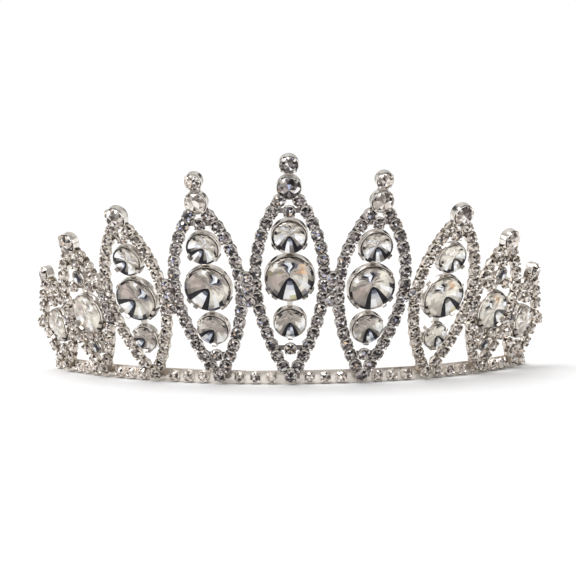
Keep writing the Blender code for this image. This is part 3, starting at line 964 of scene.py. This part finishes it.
# how a leaf's stones differ from the listed reflections: the letters that stand in for others, so that
# each leaf's painted light is softer, brighter or paler
calm = {"A": "C", "O": "M", "Y": "C"}
bright = {"B": "C", "P": "C", "M": "B", "O": "C", "S": "M", "I": "W"}
pale = {"K": "P", "S": "P", "M": "B", "B": "C", "I": "W", "A": "C", "O": "C"}
crystalSettings = {
    "moods": {"left_4": pale, "left_3": pale, "left_2": calm, "left_1": calm, "centre": {},
              "right_1": calm, "right_2": bright, "right_3": bright, "right_4": pale},
    "smallUnder": 0.004,     # stones of a smaller diameter take the small set of painted reflections
    "frontPoint": 0.17,      # above the edge, as a share of the diameter
    "backPoint": 0.24,
    "petals": 6,
    "backMains": 8,
    "rings": (0.0, 0.16, 0.34, 0.56, 0.76, 0.92, 1.0),   # shares of the radius
    "edgeHalf": 0.02,
    # degrees each leaf's painted reflections are turned
    "turns": {"left_4": -76, "left_3": -57, "left_2": -58, "left_1": -40, "centre": 0,
              "right_1": 19, "right_2": 34, "right_3": 52, "right_4": 76},
    # how far each ring's cells lean away from straight down (radians), which bows their edges
    "bow": (0.0, 1.00, 0.62, 0.38, 0.26, 0.20, 0.18),
    "stagger": (0, 0, 0.5, -0.2, 0.5, -0.2, 0),   # shift of each ring at the top, in cells
    "raise": 0.26,           # how far the point sits above the middle, as a share of the radius
    "blendAcross": 0.08,     # how far a cell's tone runs into the next one's, round the stone
    "blendAtTop": 0.10,      # the same in the upper half, which is softer
    "blendOut": 0.16,        # and along its radius
    "darkClear": 0.25,       # an ink facet takes this share of those three
    "spread": 0.30,          # how far the facets' brightness varies
    "unevenness": 0.004,     # of the facets' corners, as a share of the diameter
}


def frontHeight(s, share, turnInPetal):
    # six flat petals meet in the point; the last ring runs down to the edge
    if share > 0.99:
        return s["edgeHalf"]
    fall = share * math.cos(turnInPetal)
    return s["edgeHalf"] + (s["frontPoint"] - s["edgeHalf"]) * (1 - fall)


def pointedCut(shape, diameter, place, s, turn, pick):
    # returns the front's cells as (face, ring, cell)
    radius = diameter / 2
    around = len(crystalReflections["middle"][0])
    step = 2 * math.pi / around
    petal = 2 * math.pi / s["petals"]

    def spot(share, height, angle, lift=0.0):
        return shape.verts.new(place @ Vector((radius * (share * math.cos(angle) - lift * math.sin(turn)),
                                               radius * (share * math.sin(angle) + lift * math.cos(turn)),
                                               height * diameter)))
    rings = []
    for share, bow, stagger in zip(s["rings"], s["bow"], s["stagger"]):
        ring = []
        for k in range(around if share else 1):
            fromTop = k * step
            fromTop += stagger * step * (0.5 + 0.5 * math.cos(fromTop)) - bow * math.sin(fromTop)
            inPetal = (fromTop + petal / 2) % petal - petal / 2
            height = frontHeight(s, share, inPetal)
            if 0 < share < 0.9:
                height += s["unevenness"] * (2 * pick.random() - 1)
            ring.append(spot(share, height, turn + math.pi / 2 + fromTop, s["raise"] * (1 - share)))
        rings.append(ring)
    cells = []
    for row, (inner, outer) in enumerate(zip(rings, rings[1:])):
        for k in range(around):
            after = (k + 1) % around
            corners = [inner[k % len(inner)], outer[k], outer[after], inner[after % len(inner)]]
            cells.append((shape.faces.new(list(dict.fromkeys(corners))), row, k))
    edgeTop = rings[-1]
    edgeLow = [shape.verts.new(vert.co - place.to_3x3() @ Vector((0, 0, 2 * s["edgeHalf"] * diameter)))
               for vert in edgeTop]
    for k in range(around):
        after = (k + 1) % around
        cells.append((shape.faces.new((edgeTop[k], edgeLow[k], edgeLow[after], edgeTop[after])), 5, k))
    backPoint = spot(0, -s["backPoint"], 0)
    perMain = around // s["backMains"]
    for k in range(0, around, perMain):
        corners = [edgeLow[(k + j) % around] for j in range(perMain + 1)]
        for a, b in zip(corners, corners[1:]):
            shape.faces.new((backPoint, b, a)).material_index = 1
    return cells


def paintReflections(shape, cells, rows, s, mood, pick):
    # a corner takes its cell's painted reflection tone, mixed with its neighbours' on that side
    layer = shape.loops.layers.float_color.new("reflectedColour")
    for face in shape.faces:
        for loop in face.loops:
            loop[layer] = (0.6, 0.58, 0.55, 1)
    around = len(rows[0])

    def toneAt(row, cell):
        letter = rows[min(max(row, 0), len(rows) - 1)][cell % around]
        return Vector(crystalTones[mood.get(letter, letter)])
    for face, row, cell in cells:
        tone = toneAt(row, cell)
        clear = s["darkClear"] if max(tone) < 0.05 else 1
        across = clear * (s["blendAcross"] if around / 4 <= cell < 3 * around / 4 else s["blendAtTop"])
        out = clear * s["blendOut"]
        level = 1 + s["spread"] * (2 * pick.random() - 1)
        loops = list(face.loops)
        sides = [(-1, -1), (1, -1), (1, 1), (-1, 1)] if len(loops) == 4 else [(-1, 0), (1, -1), (1, 1)]
        for loop, (outwards, onwards) in zip(loops, sides):
            mixed = tone * (1 - across - out)
            mixed += toneAt(row + outwards, cell) * out
            mixed += toneAt(row, cell + onwards) * across
            loop[layer] = (*[min(1.0, level * c) for c in mixed], 1)


def makeCrystals(leaf):
    s = crystalSettings
    for node, (height, edge, diameter) in leaf["crystals"].items():
        shape = bmesh.new()
        place = leaf["plane"] @ Matrix.Translation((0, height, edge))
        pick = random.Random(node)
        cells = pointedCut(shape, diameter, place, s, math.radians(s["turns"][leaf["name"]]), pick)
        reflectionSet = "small" if diameter < s["smallUnder"] else node.split("_")[-1]
        mood = {} if reflectionSet == "small" else s["moods"][leaf["name"]]
        paintReflections(shape, cells, crystalReflections[reflectionSet], s, mood, pick)
        mesh = finishMesh(shape, node)
        addPiece("cut_" + node, mesh, [node], [crystalGlass, crystalFoil])


def makeTopStones(leaf):
    s = topSettings
    glass = stoneGlass[chainFinishes[leaf["kind"]]["tops"]]
    for node, (height, edge, diameter) in leaf["tops"].items():
        shape = bmesh.new()
        place = Matrix.Translation((0, height, 0))
        girdle = crownFacets(shape, diameter / 2, edge, s["crown"] * diameter, s["tableShare"],
                             s["crownSides"], place)
        point = shape.verts.new(place @ Vector((0, 0, edge - s["pavilion"] * diameter)))
        for k, corner in enumerate(girdle):
            shape.faces.new((corner, point, girdle[(k + 1) % len(girdle)]))
        mesh = finishMesh(shape, node)
        mesh.transform(leaf["plane"])
        # a random painted reflection tone for each facet
        tones = mesh.attributes.new("facetTone", "FLOAT", "FACE")
        pick = random.Random(node)
        tones.data.foreach_set("value", [pick.random() for _ in mesh.polygons])
        addPiece("round_" + node, mesh, [node], [glass])


for leaf in leaves:
    makeChain(leaf)
    makeSetting(leaf)
    makeCrystals(leaf)
    makeTopStones(leaf)
print("leaves made")


# Headband: a thin springy strip with softened edges, and its own row of stones between the leaves' feet.
bandSettings = {
    "radius": 0.073,
    "height": 0.0036,
    "thickness": 0.0009,
    "halfAngle": 63,
    "endRounding": 0.0016,
    "edgeRounding": 0.00022,
    "columns": 220,
    "leafStep": 14,
    "leafPlaces": (-3.89, -2.96, -2, -1, 0, 1, 2, 2.96, 3.89),
    "cupShares": (0.27, 0.5, 0.73),     # places of the cups on the way from leaf to leaf
    "endCup": 0.42,          # one more past the last leaf, in leaf steps
    "cupStand": 0.0004,      # the cups' middle in front of the strip's front face
    "cupSize": 0.96,
    "cupTilt": 0.03,
    "stoneTilt": 0.08,
    "cupSeed": 71,
    "stoneSeed": 72,
}


def bandPoint(s, angle, outward, height):
    radius = s["radius"] + outward
    return Vector((radius * math.sin(angle), s["radius"] - radius * math.cos(angle), height))


def makeBand(s):
    # the section is a rectangle with rounded corners, as (outward, height share) points
    half, r = s["thickness"] / 2, s["edgeRounding"]
    corner = [(math.cos(a), math.sin(a)) for a in (0, math.pi / 4, math.pi / 2)]
    shape = bmesh.new()
    tarnishAndShade = tarnishAndShadeLayer(shape)
    rings = []
    for i in range(s["columns"] + 1):
        along = 2 * i / s["columns"] - 1
        angle = math.radians(s["halfAngle"]) * (0.6 * along + 0.4 * math.sin(math.pi / 2 * along))
        room = s["radius"] * (math.radians(s["halfAngle"]) - abs(angle))
        inside = max(0.0, s["endRounding"] - room)
        tall = s["height"] / 2 - (s["endRounding"] - math.sqrt(s["endRounding"] ** 2 - inside ** 2))
        thin = min(r, half, tall)
        section = []
        for sx, sz in ((1, 1), (-1, 1), (-1, -1), (1, -1)):
            for cx, cz in corner[::sx * sz]:
                section.append((sx * (half - thin + thin * cx), sz * (tall - thin + thin * cz)))
        ring = []
        for outward, up in section:
            vert = shape.verts.new(bandPoint(s, angle, outward, s["height"] / 2 + up))
            vert[tarnishAndShade] = 0.0
            ring.append(vert)
        rings.append(ring)
    for left, right in zip(rings, rings[1:]):
        for k in range(len(left)):
            shape.faces.new((left[k], right[k], right[(k + 1) % len(left)], left[(k + 1) % len(left)]))
    shape.faces.new(rings[0])
    shape.faces.new(rings[-1][::-1])
    mesh = finishMesh(shape, "band_strip", 40)
    addPiece("band_strip", mesh, ["headband"], [silver["bandSilver"]])
    steps = s["leafPlaces"]
    cupSteps = [steps[0] - s["endCup"], steps[-1] + s["endCup"]]
    cupSteps += [a + (b - a) * share for a, b in zip(steps, steps[1:]) for share in s["cupShares"]]
    places = []
    for cupStep in sorted(cupSteps):
        angle = math.radians(cupStep * s["leafStep"])
        outward = Vector((math.sin(angle), -math.cos(angle), 0))
        along = Vector((math.cos(angle), math.sin(angle), 0))
        spot = bandPoint(s, angle, s["thickness"] / 2 + s["cupStand"], s["height"] / 2)
        places.append((spot, outward, along))
    addLoneCups("band", places, "bandSilver", "bandStoneGlass", s)


makeBand(bandSettings)
for helper in (cupObject, loneCupObject, smallStoneObject):
    bpy.data.objects.remove(helper, do_unlink=True)
print("headband made")

bpy.context.scene.view_settings.view_transform = "Standard"
